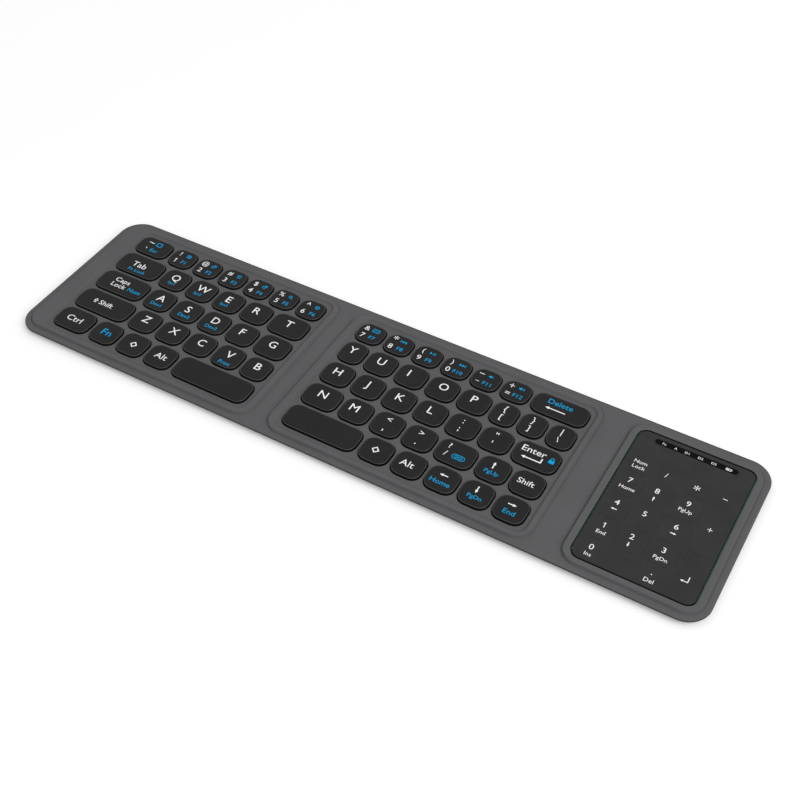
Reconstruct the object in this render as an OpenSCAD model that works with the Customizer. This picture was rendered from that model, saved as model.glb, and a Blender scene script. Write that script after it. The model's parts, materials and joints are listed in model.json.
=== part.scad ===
// Folding keyboard in three leather-covered panels, joined by two soft hinges.
// Millimetres. X runs along the keyboard, Y towards its back edge, Z up.
// The origin is on the table, under the middle of the opened keyboard.

/* [Panels] */
// Depth of the keyboard from its front edge to its back edge
body_d = 98; // [84:1:118]
// Thickness of one leather skin
skin = 0.6; // [0.5:0.05:0.7]
// Width of the flat sealed edge all round
edge_w = 3; // [2:0.25:5]
// Height of the rims above the sealed edge
rim_h = 1.4; // [1.3:0.05:1.8]
// Depth of the panels below the sealed edge
belly_h = 2.4; // [2.2:0.05:3]
// Width of the slope that leads up to a rim
slope_w = 1.2; // [0.8:0.1:1.6]
// Radius of the four outer corners
corner_r = 12; // [8:0.5:16]
// Radius of a raised panel's corners
panel_r = 9; // [7:0.5:11]
// Sunk field's border round the keys
field_border = 2.7; // [2:0.1:3.2]
// Depth of the sunk field below the rims
field_sink = 1; // [0.8:0.05:1.1]
// Width of the rims along the front and back edges, with their slope
rim_w = 3.4; // [3:0.1:4]
// Distance from the keys to the rim's foot on the left panel's hinge side
left_border = 6.3; // [6:0.1:8]
// Distance from the keys to the rim's foot on the middle panel's left side
middle_border = 6.7; // [6:0.1:8]
// Distance from the keys to the rim's foot on the middle panel's right side
right_border = 5.9; // [5.8:0.1:8]

/* [Hinges] */
// Width of the bare leather strip of the left hinge
left_strip_w = 8.5; // [7:0.25:11]
// Width of the bare leather strip of the right hinge
right_strip_w = 13.35; // [12.5:0.25:16]
// Gap between the panels when they are folded onto each other
fold_gap = 0.4; // [0.3:0.05:0.8]
// Room between the folded left panel's end and the right hinge
end_gap = 1.6; // [1.3:0.1:3]
// Width of the flat cable in each hinge
cable_w = 24; // [12:1:40]

/* [Keys] */
// Width of a letter key
letter_w = 15.3; // [12.5:0.1:18.5]
// Gap between neighbouring keys
key_gap = 1.9; // [1.6:0.1:2.5]
// Depth of the keys in the number row
number_d = 13.4; // [11:0.1:16]
// Radius of a key's corners
key_r = 4.6; // [3:0.1:5.4]
// Height of the key tops above the leather between them
key_rise = 0.95; // [0.8:0.05:1.2]
// How far a key goes down
key_travel = 1; // [0.8:0.05:1.2]
// Width of the bevel round a key's top
key_bevel = 0.35; // [0.2:0.05:0.5]
// Clearance between a key and the leather round it
key_clear = 0.45; // [0.3:0.05:0.7]
// Width of the key left of 1
grave_w = 19.9; // [16:0.1:24]
// Width of the tab key
tab_w = 26.3; // [22:0.1:32]
// Width of the caps lock key
caps_w = 29.1; // [24:0.1:35]
// Width of the left shift key
shift_w = 32.4; // [27:0.1:39]
// Width of the control key
ctrl_w = 20.7; // [17:0.1:25]
// Width of the B key
b_w = 14.3; // [12:0.1:18]
// Width of the bracket keys and the backslash key
bracket_w = 12.8; // [10.6:0.1:14]
// Width of the H key
h_w = 15.6; // [13:0.1:18]
// Width of the N key
n_w = 18.8; // [15:0.1:22]
// Width of the slash key
slash_w = 19.1; // [15:0.1:22]

/* [Touch panel] */
// Width of the touch surface
touch_w = 57.3; // [48:0.1:69]
// Distance from the rim's foot to the touch surface on the hinge side
touch_border = 4.25; // [4:0.05:6]
// Distance from the rim's foot to the touch surface on the other three sides
touch_edge = 3.6; // [3.5:0.05:5]
// Radius of the touch surface's corners
touch_r = 4.5; // [3:0.1:6]
// Gap round the touch surface
touch_gap = 0.4; // [0.2:0.05:0.5]

/* [Charging port] */
// Distance of the port from the keyboard's middle line, towards the back
port_y = 22; // [10:1:28]

/* [Hidden] */
eps = 0.01;
fit = 0.1;         // clearance between pieces that seat in each other
hair = 0.05;       // clearance between layers that lie on each other

// Heights
seam_z = belly_h + skin;                // where the two skins meet
edge_top = belly_h + 2 * skin;          // top of the sealed edge, and the hinge axes
rim_top = edge_top + rim_h;
web_top = rim_top - field_sink;         // leather between the keys
web_bottom = web_top - skin;
key_top = web_top + key_rise;
plate_z = skin + hair;
plate_t = 0.5;
membrane_z = plate_z + plate_t + hair;
membrane_t = 0.3;
switch_z = membrane_z + membrane_t;

// Key block
panel_y = body_d / 2 - edge_w;          // half the depth of a raised panel
block_y = panel_y - rim_w - field_border;   // half the depth of the key block
letter_pitch = letter_w + key_gap;
letter_d = (2 * block_y - number_d - 4 * key_gap) / 4;
left_block_w = shift_w + 4 * letter_pitch + key_gap + b_w;
middle_block_w = n_w + slash_w + 2 * key_gap + 5 * letter_pitch - key_gap;
number_w = (left_block_w - grave_w) / 6 - key_gap;
row_depths = [number_d, letter_d, letter_d, letter_d, letter_d];

// Hinge axes: each pair is as far apart as the stack that the hinge folds round
left_fold = 2 * rim_h + fold_gap;
right_fold = left_fold + rim_top + fold_gap;

// Panels from left to right, as the feet of their raised rims. The left one is as long as it
// can be and still lie on the middle one, short of the right hinge
middle_w = middle_border + middle_block_w + right_border;
left_w = middle_w - edge_w + (right_strip_w - right_fold) / 2 - end_gap;
end_border = left_w - left_block_w - left_border;
touch_panel_w = touch_border + touch_w + touch_edge;
body_w = 2 * edge_w + left_w + left_strip_w + middle_w + right_strip_w + touch_panel_w;
left_x = [-body_w / 2 + edge_w, -body_w / 2 + edge_w + left_w];
middle_x = [left_x[1] + left_strip_w, left_x[1] + left_strip_w + middle_w];
touch_x = [middle_x[1] + right_strip_w, middle_x[1] + right_strip_w + touch_panel_w];
left_block_x = left_x[0] + end_border;
middle_block_x = middle_x[0] + middle_border;
left_field = [left_block_x - field_border, left_block_x + left_block_w + field_border];
middle_field = [middle_block_x - field_border, middle_block_x + middle_block_w + field_border];
surface_x = [touch_x[0] + touch_border, touch_x[0] + touch_border + touch_w];
field_y = block_y + field_border;
surface_y = panel_y - touch_edge;

left_axes = spread((left_x[1] + middle_x[0]) / 2, left_fold);
right_axes = spread((middle_x[1] + touch_x[0]) / 2, right_fold);

// Radii
wall_in = slope_w + 0.4;                // from a rim's foot to the hollow inside
lip = 0.5;                              // leather between the sunk field and the frame's ridge
field_r = key_r + 0.6;

// Key caps
cap_roof = 0.8;                         // thickness of a key's top
cap_wall = 0.9;
cap_bottom = web_bottom - 0.4;
roof_z = key_top - cap_roof;
rib_h = 0.6;                            // ribs inside the supports' high bars

// Rows of keys from the back: the node that each key belongs to, and its width
left_rows = [
    concat([["left_number_keys", grave_w]], [for (i = [1:6]) ["left_number_keys", number_w]]),
    concat([["left_modifier_keys", tab_w]], letters("qwer"), [filling("key_t", left_block_w, tab_w, 4)]),
    concat([["left_modifier_keys", caps_w]], letters("asdf"), [filling("key_g", left_block_w, caps_w, 4)]),
    concat([["left_modifier_keys", shift_w]], letters("zxcv"), [["key_b", b_w]]),
    concat([["left_modifier_keys", ctrl_w]], [for (i = [1:3]) ["left_modifier_keys", letter_w]],
        [filling("left_space_bar", left_block_w, ctrl_w, 3)])
];
middle_rows = [
    concat([for (i = [1:6]) ["middle_number_keys", number_w]],
        [["middle_modifier_keys", middle_block_w - 6 * (number_w + key_gap)]]),
    concat([["key_y", middle_block_w - 4 * letter_pitch - 3 * (bracket_w + key_gap)]], letters("uiop"),
        [for (i = [1:3]) ["punctuation_keys", bracket_w]]),
    concat([["key_h", h_w]], letters("jkl"), [for (i = [1:2]) ["punctuation_keys", letter_w]],
        [filling("middle_modifier_keys", middle_block_w, h_w, 5)]),
    concat([["key_n", n_w]], letters("m"), [for (i = [1:2]) ["punctuation_keys", letter_w]],
        [["punctuation_keys", slash_w], ["arrow_keys", letter_w], ["middle_modifier_keys", letter_w]]),
    concat([["right_space_bar", middle_block_w - 5 * letter_pitch]],
        [for (i = [1:2]) ["middle_modifier_keys", letter_w]], [for (i = [1:3]) ["arrow_keys", letter_w]])
];

// Two places on either side of a middle, a distance apart
function spread(middle, apart) = [middle - apart / 2, middle + apart / 2];
function letters(names) = [for (c = names) [str("key_", c), letter_w]];
// The key at the end of a row takes what the first key and the letter keys leave
function filling(name, block_w, first_w, count) =
    [name, block_w - first_w - count * letter_pitch - key_gap];
function before(row, i) = i == 0 ? 0 : before(row, i - 1) + row[i - 1][1] + key_gap;
function row_back(i) = i == 0 ? block_y : row_back(i - 1) - row_depths[i - 1] - key_gap;
// Every key of a block as [node, centre x, centre y, width, depth]
function placed(rows, x) = [for (r = [0:4]) for (i = [0:len(rows[r]) - 1])
    [rows[r][i][0], x + before(rows[r], i) + rows[r][i][1] / 2,
     row_back(r) - row_depths[r] / 2, rows[r][i][1], row_depths[r]]];
left_keys = placed(left_rows, left_block_x);
middle_keys = placed(middle_rows, middle_block_x);
all_keys = concat(left_keys, middle_keys);

// Scissor supports, sized to fit under the narrowest and the shallowest key
long_key = 30;                          // keys wider than this have two supports
support_w = min([for (k = all_keys) k[3]]) - 2 * cap_wall - 1.2;
support_d = min(row_depths) - 2 * cap_wall - 2.6;
bar = 0.9;                              // width of a support's bars
bar_t = 0.5;
side_gap = 0.15;                        // between the two bar frames
inner_w = support_w - 2 * bar - 2 * side_gap;
opening_w = inner_w - 2 * bar;
pin_r = 0.14;
pin_fit = 0.02;
// Tilt at which the bars' corners just clear the membrane and the key's roof
support_h = roof_z - switch_z - 2 * fit;
tilt = asin(support_h / norm([support_d, bar_t])) - atan(bar_t / support_d);

// Hooks on the key plate, just inside the supports' low bars
hook_w = opening_w - 1.5;
hook_t = 0.4;
hook_h = 1.2;
hook_y = (support_d / 2 - bar) * cos(tilt) - bar_t / 2 * sin(tilt) - side_gap - hook_t;

// Rubber domes, between the hooks and inside the supports
dome_r = min(opening_w / 2, hook_y) - side_gap;
dome_top_r = 0.54 * dome_r;
dome_foot = dome_r / 4;                 // width of a dome's foot ring
dome_t = 0.3;
dome_roof = 0.6;                        // thickness of a dome's crown
boss_r = dome_top_r - fit;

// Frames
frame_z = [skin + hair, web_bottom - hair];
frame_in = wall_in + fit;
seat = 1.4;                             // room round the key block for plate and membrane

// Touch panel: sensor board on the frame's ledge, battery between ribs below it
rib = 1.6;
ledge = 3;
battery_w = 36;
battery_l = 56;
battery_t = 1.9;
battery_r = 1.5;
battery_seal = 3;                       // sealed end of the pouch
sensor_t = 0.8;
surface_t = 1;
surface_top = rim_top - 0.1;
board_top = surface_top - surface_t - hair;
touch_mid = (surface_x[0] + surface_x[1]) / 2;
lamp_count = 6;
lamp_pitch = 6.2;

// Charging port, a USB-C receptacle, and the control board that ends beside it
port_w = 8.94;
port_h = 3.16;
port_l = 7.35;
port_shell = 0.3;
port_back = 1;                          // closed end of the port
tongue_w = 6.7;
tongue_t = 0.7;
port_z = belly_h - 0.55;
port_x = left_x[0] + slope_w / 4;
port_end = port_x + port_l;
foot_w = 4;                             // foot of the port's shell on the board
foot_l = 1.6;
board_t = 0.8;
bay_roof = 0.6;                         // frame left above the control board
board_x = [left_x[0] + frame_in + 0.4, left_field[0] - 0.3];
board_y = [-30, port_y - port_w / 2 - fit];
chip = 6;
chip_h = 0.9;

cable_t = 0.2;
KEY_NODES = concat([for (c = "qwertasdfgzxcvbyuiophjklnm") str("key_", c)],
    ["left_space_bar", "right_space_bar", "left_number_keys", "middle_number_keys",
     "left_modifier_keys", "middle_modifier_keys", "punctuation_keys", "arrow_keys"]);

leather = [0.24, 0.24, 0.245];
hard_plastic = [0.11, 0.11, 0.12];
steel = [0.62, 0.63, 0.65];
key_black = [0.09, 0.09, 0.095];
$fn = 48;

// ---- outlines and slabs ----

// Rectangle between two x values, y to both sides, with its own radius on each end
module outline(x, y, r_left, r_right) {
    translate([x[0] + r_left, -y]) square([x[1] - x[0] - r_left - r_right, 2 * y]);
    end_of_outline(x[0], 1, y, r_left);
    end_of_outline(x[1], -1, y, r_right);
}

module end_of_outline(x, way, y, r) {
    if (r > 0) {
        translate([way > 0 ? x : x - 2 * r, -y + r]) square([2 * r, 2 * (y - r)]);
        for (side = [-1, 1]) translate([x + way * r, side * (y - r)]) circle(r);
    }
}

module slab(x, y, r, z0, z1) {
    translate([0, 0, z0]) linear_extrude(z1 - z0) outline(x, y, r, r);
}

// The outline of a panel's raised part, drawn in by a distance
module inside(x, y, r, by, z0, z1) {
    slab([x[0] + by, x[1] - by], y - by, r - by, z0, z1);
}

// A slab whose four sides lean in towards its top
module leaning_slab(x, y, r, lean, z0, z1) {
    h = z1 - z0;
    translate([0, y - r, z0]) rotate([90, 0, 0]) linear_extrude(2 * (y - r))
        polygon([[x[0], 0], [x[1], 0], [x[1] - lean, h], [x[0] + lean, h]]);
    translate([x[0] + r, 0, z0]) rotate([90, 0, 90]) linear_extrude(x[1] - x[0] - 2 * r)
        polygon([[-y, 0], [y, 0], [y - lean, h], [-y + lean, h]]);
    for (px = [x[0] + r, x[1] - r], py = [-y + r, y - r])
        translate([px, py, z0]) cylinder(h = h, r1 = r, r2 = r - lean);
}

// ---- leather covers ----

// Flat sealed edge of one panel, from its outer end or hinge axis to the other
module sealed_edge(x, r_left, r_right, z0) {
    translate([0, 0, z0]) linear_extrude(skin) outline(x, body_d / 2, r_left, r_right);
}

// Top skin: sealed edge, raised rim, and the hollow that the frame fills
module top_skin(edge_x, r_left, r_right, x) {
    difference() {
        union() {
            sealed_edge(edge_x, r_left, r_right, seam_z);
            leaning_slab(x, panel_y, panel_r, slope_w, edge_top - eps, rim_top);
        }
        inside(x, panel_y, panel_r, wall_in, seam_z - eps, web_bottom);
        children();
    }
}

// Sunk field with a hole for each key, and the groove under the rim for the frame's ridge
module key_field(x, field_x, keys) {
    slab(field_x, field_y, field_r, web_top, rim_top + eps);
    for (k = keys)
        translate([k[1], k[2], 0])
            slab(spread(0, k[3] + 2 * key_clear), k[4] / 2 + key_clear, key_r + key_clear,
                web_bottom - 2 * eps, web_top + eps);
    rim_groove(x, field_x, 0, web_bottom - eps, rim_top - skin);
}

module rim_groove(x, field_x, gap, z0, z1) {
    difference() {
        inside(x, panel_y, panel_r, wall_in + gap, z0, z1);
        slab([field_x[0] - lip - gap, field_x[1] + lip + gap], field_y + lip + gap,
            field_r + lip + gap, z0 - eps, z1 + eps);
    }
}

// Bottom skin: sealed edge and a shallow tray with leaning sides
module bottom_skin(edge_x, r_left, r_right, x) {
    difference() {
        union() {
            sealed_edge(edge_x, r_left, r_right, belly_h);
            translate([0, 0, belly_h + eps]) mirror([0, 0, 1])
                leaning_slab(x, panel_y, panel_r, slope_w, 0, belly_h + eps);
        }
        inside(x, panel_y, panel_r, wall_in, skin, seam_z + eps);
        children();
    }
}

left_edge_x = [-body_w / 2, left_axes[0]];
middle_edge_x = [left_axes[1], right_axes[0]];
touch_edge_x = [right_axes[1], body_w / 2];

module left_top_cover() {
    color(leather) top_skin(left_edge_x, corner_r, 0, left_x) {
        key_field(left_x, left_field, left_keys);
        port_room();
    }
}

module middle_top_cover() {
    color(leather) top_skin(middle_edge_x, 0, 0, middle_x)
        key_field(middle_x, middle_field, middle_keys);
}

// The touch panel's skin stops at the gap round the touch surface
module touch_top_cover() {
    color(leather) top_skin(touch_edge_x, 0, corner_r, touch_x) {
        slab([surface_x[0] - touch_gap, surface_x[1] + touch_gap], surface_y + touch_gap,
            touch_r + touch_gap, web_bottom - eps, rim_top + eps);
        inside(touch_x, panel_y, panel_r, wall_in, web_bottom - eps, rim_top - skin);
    }
}

module left_bottom_cover() {
    color(leather) bottom_skin(left_edge_x, corner_r, 0, left_x) port_mouth();
}

module middle_bottom_cover() {
    color(leather) bottom_skin(middle_edge_x, 0, 0, middle_x);
}

module touch_bottom_cover() {
    color(leather) bottom_skin(touch_edge_x, 0, corner_r, touch_x);
}

// ---- frames ----

// Moulded frame round the keys, with a ridge that stands in the rim's groove
module key_frame(x, field_x, block_x, block_w) {
    difference() {
        union() {
            inside(x, panel_y, panel_r, frame_in, frame_z[0], frame_z[1]);
            rim_groove(x, field_x, fit, frame_z[1] - eps, rim_top - skin - fit);
        }
        slab([block_x - seat, block_x + block_w + seat], block_y + seat, field_r - 1,
            0, frame_z[1] + eps);
        children();
    }
}

module left_frame() {
    color(hard_plastic) key_frame(left_x, left_field, left_block_x, left_block_w) {
        board_bay();
        cable_way([left_x[0] + end_border / 2, left_block_x]);
        cable_way([left_block_x + left_block_w, left_x[1]]);
    }
}

module middle_frame() {
    color(hard_plastic) key_frame(middle_x, middle_field, middle_block_x, middle_block_w) {
        cable_way([middle_x[0], middle_block_x]);
        cable_way([middle_block_x + middle_block_w, middle_x[1]]);
    }
}

// Slot under a frame's side for the flat cable
module cable_way(x) {
    translate([x[0], -cable_w / 2 - fit, 0]) cube([x[1] - x[0], cable_w + 2 * fit, switch_z + fit]);
}

// Bay for the control board, open below, and the pocket for the port
module board_bay() {
    translate([board_x[0] - fit, board_y[0] - fit, 0])
        cube([board_x[1] - board_x[0] + 2 * fit, board_y[1] - board_y[0] + 2 * fit,
            frame_z[1] - bay_roof]);
    port_room();
}

// Touch panel's frame: rim ridge, ledge for the touch board, and ribs round the battery
module touch_frame() {
    bay_x = spread(touch_mid, battery_w + 2 * fit);
    bay_y = battery_l / 2 + fit;
    color(hard_plastic) {
        difference() {
            inside(touch_x, panel_y, panel_r, frame_in, frame_z[0], rim_top - skin - fit);
            slab([surface_x[0] - touch_gap / 2, surface_x[1] + touch_gap / 2],
                surface_y + touch_gap / 2, touch_r + touch_gap / 2, board_top - sensor_t - fit, rim_top);
            slab([surface_x[0] + ledge, surface_x[1] - ledge], surface_y - ledge, touch_r,
                0, rim_top);
            cable_way([touch_x[0], surface_x[0] + ledge + eps]);
        }
        for (x = [bay_x[0] - rib, bay_x[1]])
            translate([x, -surface_y + ledge - eps, frame_z[0]])
                cube([rib, 2 * (surface_y - ledge + eps), battery_t]);
        for (y = [-bay_y - rib, bay_y])
            translate([bay_x[0] - eps, y, frame_z[0]])
                cube([bay_x[1] - bay_x[0] + 2 * eps, rib, battery_t]);
    }
}

module touch_surface() {
    color([0.05, 0.05, 0.055]) {
        slab(surface_x, surface_y, touch_r, surface_top - surface_t, surface_top - key_bevel);
        leaning_slab(surface_x, surface_y, touch_r, key_bevel / 2, surface_top - key_bevel - eps,
            surface_top);
    }
}

// Sensor board under the touch surface, with its chip and its row of indicator lamps
module touch_board() {
    color([0.05, 0.2, 0.1]) {
        slab([surface_x[0] + fit, surface_x[1] - fit], surface_y - fit, touch_r - fit,
            board_top - sensor_t, board_top);
        translate([touch_mid - 4, -surface_y + ledge + 1, board_top - sensor_t - 0.7])
            cube([8, 8, 0.7 + eps]);
        for (i = [0:lamp_count - 1])
            translate([touch_mid + (i - (lamp_count - 1) / 2) * lamp_pitch - 0.8,
                surface_y - ledge - 3, board_top - sensor_t - 0.5]) cube([1.6, 0.8, 0.5 + eps]);
    }
}

// Flat pouch cell in the bay, with its sealed top edge
module battery() {
    color([0.7, 0.71, 0.72]) {
        slab(spread(touch_mid, battery_w), battery_l / 2 - battery_seal + 0.5, battery_r,
            plate_z, plate_z + battery_t - fit);
        translate([touch_mid - battery_w / 2 + 1, battery_l / 2 - battery_seal, plate_z + 0.7])
            cube([battery_w - 2, battery_seal, 0.5]);
    }
}

// ---- key mechanism ----

function supports_of(k) = k[3] > long_key ? [k[1] - k[3] / 4, k[1] + k[3] / 4] : [k[1]];

// Steel plate with the pressed-up hooks that hold the supports
module key_plate(block_x, block_w, keys) {
    color(steel) {
        slab([block_x - seat + fit, block_x + block_w + seat - fit], block_y + seat - fit, field_r - 1 - fit,
            plate_z, plate_z + plate_t);
        for (k = keys, x = supports_of(k), way = [0, 180])
            translate([x, k[2], plate_z + plate_t - eps]) rotate([0, 0, way])
                translate([-hook_w / 2, hook_y, 0]) cube([hook_w, hook_t, hook_h]);
    }
}

module left_key_plate() { key_plate(left_block_x, left_block_w, left_keys); }
module middle_key_plate() { key_plate(middle_block_x, middle_block_w, middle_keys); }

// Contact membrane, with a slot round each hook and tails that run out to the cables
module membrane(block_x, block_w, keys, tails) {
    color([0.75, 0.8, 0.78]) difference() {
        union() {
            slab([block_x - seat + fit, block_x + block_w + seat - fit], block_y + seat - fit,
                field_r - 1 - fit, membrane_z, membrane_z + membrane_t);
            for (x = tails)
                translate([x[0], -cable_w / 2, membrane_z]) cube([x[1] - x[0], cable_w, membrane_t]);
        }
        for (k = keys, x = supports_of(k), way = [0, 180])
            translate([x, k[2], membrane_z - eps]) rotate([0, 0, way])
                translate([-hook_w / 2 - fit, hook_y - fit, 0])
                    cube([hook_w + 2 * fit, hook_t + 2 * fit, membrane_t + 2 * eps]);
    }
}

module left_membrane() {
    membrane(left_block_x, left_block_w, left_keys,
        [[board_x[1] + fit, left_block_x], [left_block_x + left_block_w, left_x[1] - frame_in]]);
}

module middle_membrane() {
    membrane(middle_block_x, middle_block_w, middle_keys,
        [[middle_x[0] + frame_in, middle_block_x],
         [middle_block_x + middle_block_w, middle_x[1] - frame_in]]);
}

module dome() {
    h = cap_bottom - hair - switch_z - hair;
    translate([0, 0, switch_z + hair]) rotate_extrude()
        polygon([[dome_r - dome_foot, 0], [dome_r, 0], [dome_r, dome_t], [dome_top_r, h], [0, h],
            [0, h - dome_roof], [dome_top_r - dome_t, h - dome_roof]]);
}

module domes(keys) {
    color([0.85, 0.85, 0.83]) for (k = keys) translate([k[1], k[2], 0]) dome();
}

module left_domes() { domes(left_keys); }
module middle_domes() { domes(middle_keys); }

// One bar frame of a scissor, lying flat round the origin
module bar_frame(w, d) {
    translate([-w / 2, -d / 2, -bar_t / 2]) difference() {
        cube([w, d, bar_t]);
        translate([bar, bar, -eps]) cube([w - 2 * bar, d - 2 * bar, bar_t + 2 * eps]);
    }
}

// Scissor: a wide frame that rises towards the back and a narrow one that rises towards the
// front, turning on two pins in the wide one's sides
module scissor() {
    pin_from = inner_w / 2 - bar / 2;
    pin_to = support_w / 2 - fit;
    translate([0, 0, (switch_z + roof_z) / 2]) {
        rotate([tilt, 0, 0]) difference() {
            bar_frame(support_w, support_d);
            rotate([0, 90, 0]) cylinder(h = 2 * support_w, r = pin_r + pin_fit, center = true, $fn = 16);
        }
        rotate([-tilt, 0, 0]) bar_frame(inner_w, support_d);
        for (way = [-90, 90])
            rotate([0, way, 0]) translate([0, 0, pin_from])
                cylinder(h = pin_to - pin_from, r = pin_r, $fn = 16);
    }
}

module supports(keys) {
    color([0.8, 0.8, 0.78]) for (k = keys, x = supports_of(k)) translate([x, k[2], 0]) scissor();
}

module left_supports() { supports(left_keys); }
module middle_supports() { supports(middle_keys); }

// Key cap: bevelled shell with a boss over the dome and ribs that hold the supports' high bars
module key_cap(k) {
    w = k[3];
    d = k[4];
    translate([k[1], k[2], 0]) {
        difference() {
            union() {
                slab(spread(0, w), d / 2, key_r, cap_bottom, key_top - key_bevel);
                leaning_slab(spread(0, w), d / 2, key_r, key_bevel, key_top - key_bevel - eps, key_top);
            }
            slab(spread(0, w - 2 * cap_wall), d / 2 - cap_wall, key_r - cap_wall,
                cap_bottom - eps, roof_z);
        }
        translate([0, 0, cap_bottom]) cylinder(h = roof_z + eps - cap_bottom, r = boss_r);
        for (x = supports_of([0, 0, 0, w]), way = [0, 180])
            translate([x, 0, roof_z - rib_h]) rotate([0, 0, way])
                translate([-hook_w / 2, hook_y, 0]) cube([hook_w, hook_t, rib_h + eps]);
    }
}

module keys_of(name) {
    color(key_black) for (k = all_keys) if (k[0] == name) key_cap(k);
}

// ---- control board and charging port ----

module port_outline(grow) {
    h = port_h / 2 + grow;
    w = port_w / 2 + grow;
    translate([-w + h, -h]) square([2 * (w - h), 2 * h]);
    for (side = [-1, 1]) translate([side * (w - h), 0]) circle(h);
}

// Sheet-steel shell of the port with its contact tongue
module charging_port() {
    color(steel) translate([port_x, port_y, port_z]) rotate([90, 0, 90]) {
        difference() {
            linear_extrude(port_l) port_outline(0);
            translate([0, 0, -eps]) linear_extrude(port_l - port_back) port_outline(-port_shell);
        }
        translate([-tongue_w / 2, -tongue_t / 2, port_back]) cube([tongue_w, tongue_t, port_l - 1.5]);
    }
    color(steel) translate([board_x[0] + fit, board_y[1] - foot_l, plate_z + board_t + hair])
        cube([foot_w, foot_l + fit + port_shell, port_shell]);
}

module port_room() {
    translate([left_x[0], port_y, port_z]) rotate([90, 0, 90])
        linear_extrude(port_end + fit - left_x[0]) port_outline(fit);
}

// Mouth through the leather below the sealed edge, and the thinned floor under the port
module port_mouth() {
    translate([-body_w / 2 - eps, port_y, port_z]) rotate([90, 0, 90])
        linear_extrude(port_end + fit + body_w / 2 + eps) port_outline(fit / 2);
}

// Board beside the keys, with its chips
module control_board() {
    color([0.05, 0.25, 0.12]) {
        translate([board_x[0], board_y[0], plate_z])
            cube([board_x[1] - board_x[0], board_y[1] - board_y[0], board_t]);
        for (y = [board_y[0] + chip, board_y[0] + 3 * chip, board_y[1] - foot_l - 1.5 * chip])
            translate([board_x[0] + 1.2, y, plate_z + board_t - eps])
                cube([board_x[1] - board_x[0] - 2.4, chip, chip_h]);
    }
}

// ---- soft hinges ----

module hinge(axes) {
    color(leather) difference() {
        translate([axes[0] + fit, -body_d / 2, belly_h])
            cube([axes[1] - axes[0] - 2 * fit, body_d, 2 * skin]);
        translate([axes[0], -cable_w / 2 - fit, seam_z - cable_t / 2 - fit])
            cube([axes[1] - axes[0], cable_w + 2 * fit, cable_t + 2 * fit]);
    }
}

module hinge_cable(axes) {
    color([0.75, 0.45, 0.15]) translate([axes[0] + fit, -cable_w / 2, seam_z - cable_t / 2])
        cube([axes[1] - axes[0] - 2 * fit, cable_w, cable_t]);
}

module left_hinge() { hinge(left_axes); }
module right_hinge() { hinge(right_axes); }
module left_hinge_cable() { hinge_cable(left_axes); }
module right_hinge_cable() { hinge_cable(right_axes); }

left_top_cover();
left_bottom_cover();
left_frame();
left_key_plate();
left_membrane();
left_domes();
left_supports();
charging_port();
control_board();
middle_top_cover();
middle_bottom_cover();
middle_frame();
middle_key_plate();
middle_membrane();
middle_domes();
middle_supports();
touch_top_cover();
touch_bottom_cover();
touch_frame();
touch_surface();
touch_board();
battery();
left_hinge();
left_hinge_cable();
right_hinge();
right_hinge_cable();
for (name = KEY_NODES) keys_of(name);
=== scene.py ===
import bpy
import bmesh
import json
import math
import numpy as np
from mathutils import Matrix, Vector
from mathutils.geometry import delaunay_2d_cdt


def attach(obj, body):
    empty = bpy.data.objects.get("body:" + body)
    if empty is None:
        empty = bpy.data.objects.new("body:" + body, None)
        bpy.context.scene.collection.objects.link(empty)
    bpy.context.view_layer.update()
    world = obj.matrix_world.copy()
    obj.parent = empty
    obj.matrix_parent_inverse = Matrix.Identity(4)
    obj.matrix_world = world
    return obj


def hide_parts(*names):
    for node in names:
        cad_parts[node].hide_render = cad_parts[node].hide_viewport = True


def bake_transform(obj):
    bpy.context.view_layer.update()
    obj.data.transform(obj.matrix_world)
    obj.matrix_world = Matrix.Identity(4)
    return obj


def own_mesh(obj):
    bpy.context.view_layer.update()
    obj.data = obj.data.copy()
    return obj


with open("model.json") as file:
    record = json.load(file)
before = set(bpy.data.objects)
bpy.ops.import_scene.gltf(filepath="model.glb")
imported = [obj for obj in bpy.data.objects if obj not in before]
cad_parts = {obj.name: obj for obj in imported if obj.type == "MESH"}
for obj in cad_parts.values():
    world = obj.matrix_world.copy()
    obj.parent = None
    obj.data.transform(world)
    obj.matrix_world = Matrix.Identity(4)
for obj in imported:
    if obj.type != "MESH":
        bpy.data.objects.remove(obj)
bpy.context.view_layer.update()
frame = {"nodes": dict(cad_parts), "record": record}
mm = 0.001
print("frame loaded:", len(frame["nodes"]), "nodes")


class Wire:
    # an output socket; Python operators on it add Math nodes
    def __init__(self, shader, socket):
        self.shader, self.socket = shader, socket

    def maths(self, operation, *values):
        return self.shader.node("ShaderNodeMath", {"operation": operation}, values)

    def __add__(self, other):
        return self.maths("ADD", self, other)

    def __sub__(self, other):
        return self.maths("SUBTRACT", self, other)

    def __rsub__(self, other):
        return self.maths("SUBTRACT", other, self)

    def __mul__(self, other):
        return self.maths("MULTIPLY", self, other)

    def __gt__(self, other):
        return self.maths("GREATER_THAN", self, other)

    def __lt__(self, other):
        return self.maths("LESS_THAN", self, other)

    def step(self, low, high):
        # 0 below low, 1 above high, straight between them
        return self.shader.node("ShaderNodeMapRange", {"clamp": True}, {0: self, 1: low, 2: high})

    def out(self, name):
        return Wire(self.shader, self.socket.node.outputs[name])

    __radd__ = __add__
    __rmul__ = __mul__


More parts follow.
